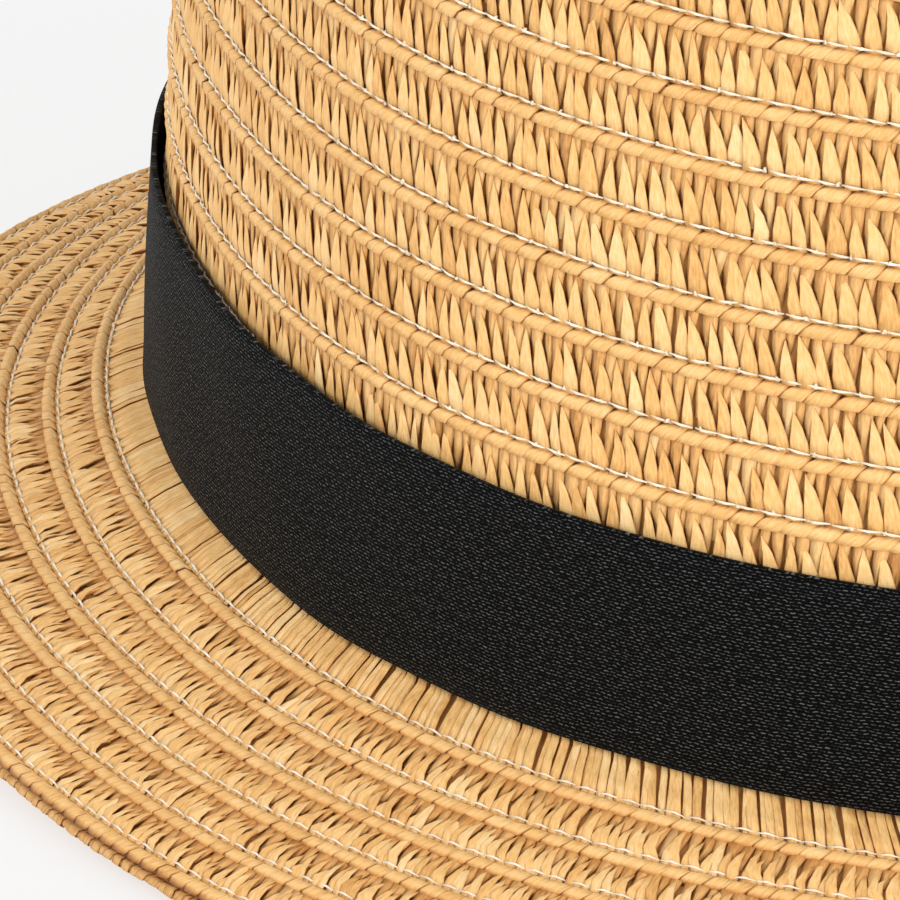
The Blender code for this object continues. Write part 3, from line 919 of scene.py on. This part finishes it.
def ribbon():
    """One long strip round the foot of the crown, its ends lapped on the wearer's left.

    Two parameters run along and across the strip. Its middle lies on the oval, stands out a
    little more at its lower edge, rises over the layer below near its outer end, and is given a
    faint swell, a few soft slack waves and a looser part on one side.
    """
    lengthwise, crosswise = 400, 11
    turn = np.linspace(0, 1, lengthwise)[:, None]
    share = np.linspace(0, 1, crosswise)[None, :]
    angle = -BAND_LAP / 2 + turn * (2 * np.pi + BAND_LAP)
    over = np.clip((turn * (2 * np.pi + BAND_LAP) - 2 * np.pi) / BAND_LAP * 3 + 1, 0, 1)
    over = over * over * (3 - 2 * over)
    wide = band_high[2] - band_low[2] - 2 * BAND_INSET
    swell = BAND_SWELL * np.sin(np.pi * share)
    slack = BAND_SLACK * (np.sin(9 * angle + 1.3) * np.cos(2.2 * share)
                          + np.sin(17 * angle + 5 * share))
    loose = LOOSE_OUT * ((1 + np.cos(angle - LOOSE_TURN)) / 2) ** LOOSE_POWER * (1 - 0.6 * share)
    middle = BAND_INNER + BAND_FLARE * (1 - share) + BAND_CLEAR + swell + slack
    middle = middle + over * BAND_OVER + loose
    ripple = BAND_RIPPLE * (np.sin(5 * angle + 0.7) + np.sin(23 * angle) / 2)
    height = band_low[2] + BAND_INSET + share * wide + ripple
    halfway = crosswise // 2
    line = swept_point(middle[:, halfway], height[:, halfway], angle[:, 0])
    length = np.cumsum(np.append(0, np.linalg.norm(np.diff(line, axis=0), axis=1)))
    sheets = [swept_point(middle + BAND_THICK / 2 * way, height, angle + 0 * share)
              for way in (1, -1)]
    points = np.concatenate([sheet.reshape(-1, 3) for sheet in sheets])
    uv = np.stack(np.broadcast_arrays(length[:, None], share * wide), -1).reshape(-1, 2) / MM
    i, j = np.meshgrid(np.arange(lengthwise - 1), np.arange(crosswise - 1), indexing="ij")
    here = i * crosswise + j
    other = lengthwise * crosswise
    front = np.stack([here, here + crosswise, here + crosswise + 1, here + 1], -1).reshape(-1, 4)
    back = front[:, ::-1] + other
    grid = np.arange(other).reshape(lengthwise, crosswise)
    rim = np.concatenate([grid[:, 0], grid[-1, 1:], grid[-2::-1, -1], grid[0, -2:0:-1]])
    after = np.roll(rim, -1)
    side = np.stack([after, rim, rim + other, after + other], -1)
    piece = mesh_piece("ribbon", points, [np.concatenate([front, back, side])], satin,
                       np.concatenate([uv, uv]))
    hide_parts("hat_band")
    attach(piece, "root")


ribbon()

# Floor, light and camera.
FLOOR_HALF = 20.0
WORLD_LIGHT = 0.76
FLOOR_TONE = (0.30, 0.30, 0.30)
FLOOR_GLOW = 0.65

# Lamps: name, strength, then size, azimuth and elevation in degrees.
LAMPS = (("key", 1.72, 26, -86, 15), ("fill", 1.02, 50, 172, 25))


def studio():
    """A wide pale floor, an even pale world, and two soft lamps that stand nowhere in view.

    The floor glows a little, as a light table does, so the shadow on it stays soft.
    """
    corners = FLOOR_HALF * np.array([[-1, -1, 0], [1, -1, 0], [1, 1, 0], [-1, 1, 0]], float)
    material, _, _, shader = new_finish("studio_floor")
    shader.inputs["Base Color"].default_value = (*FLOOR_TONE, 1.0)
    shader.inputs["Emission Color"].default_value = (1.0, 1.0, 1.0, 1.0)
    shader.inputs["Emission Strength"].default_value = FLOOR_GLOW
    shader.inputs["Roughness"].default_value = 0.9
    shader.inputs["Specular IOR Level"].default_value = 0.1
    mesh_piece("floor", corners, [[[0, 1, 2, 3]]], material)
    world = bpy.data.worlds.new("studio")
    world.use_nodes = True
    sky = world.node_tree.nodes["Background"]
    sky.inputs[0].default_value = (0.98, 0.99, 1.0, 1.0)
    sky.inputs[1].default_value = WORLD_LIGHT
    bpy.context.scene.world = world
    for name, strength, size, azimuth, elevation in LAMPS:
        lamp = bpy.data.lights.new(name, "SUN")
        lamp.energy = strength
        lamp.angle = np.radians(size)
        item = bpy.data.objects.new(name, lamp)
        bpy.context.collection.objects.link(item)
        a, e = np.radians(azimuth), np.radians(elevation)
        way = Vector((np.cos(a) * np.cos(e), np.sin(a) * np.cos(e), np.sin(e)))
        item.rotation_euler = way.to_track_quat("Z", "Y").to_euler()


CAMERA_AIM = Vector((-0.052779, 0.022640, 0.011001))
CAMERA_DISTANCE = 1.35294
CAMERA_AZIMUTH = np.radians(-111.75)
CAMERA_ELEVATION = np.radians(21.92)
CAMERA_ROLL = np.radians(2.051)
CAMERA_LENS = 529.78


def camera():
    """A long lens before the hat, a little towards -X, looking down and rolled a little."""
    lens = bpy.data.cameras.new("camera")
    lens.lens = CAMERA_LENS
    lens.sensor_width = 36.0
    lens.clip_start, lens.clip_end = 0.05, 100.0
    item = bpy.data.objects.new("camera", lens)
    bpy.context.collection.objects.link(item)
    a, e = CAMERA_AZIMUTH, CAMERA_ELEVATION
    back = Vector((np.cos(a) * np.cos(e), np.sin(a) * np.cos(e), np.sin(e)))
    level = back.to_track_quat("Z", "Y")
    item.rotation_mode = "QUATERNION"
    item.rotation_quaternion = Matrix.Rotation(CAMERA_ROLL, 3, back).to_quaternion() @ level
    item.location = CAMERA_AIM + CAMERA_DISTANCE * back
    bpy.context.scene.camera = item


studio()
camera()
bpy.context.scene.view_settings.view_transform = "Standard"
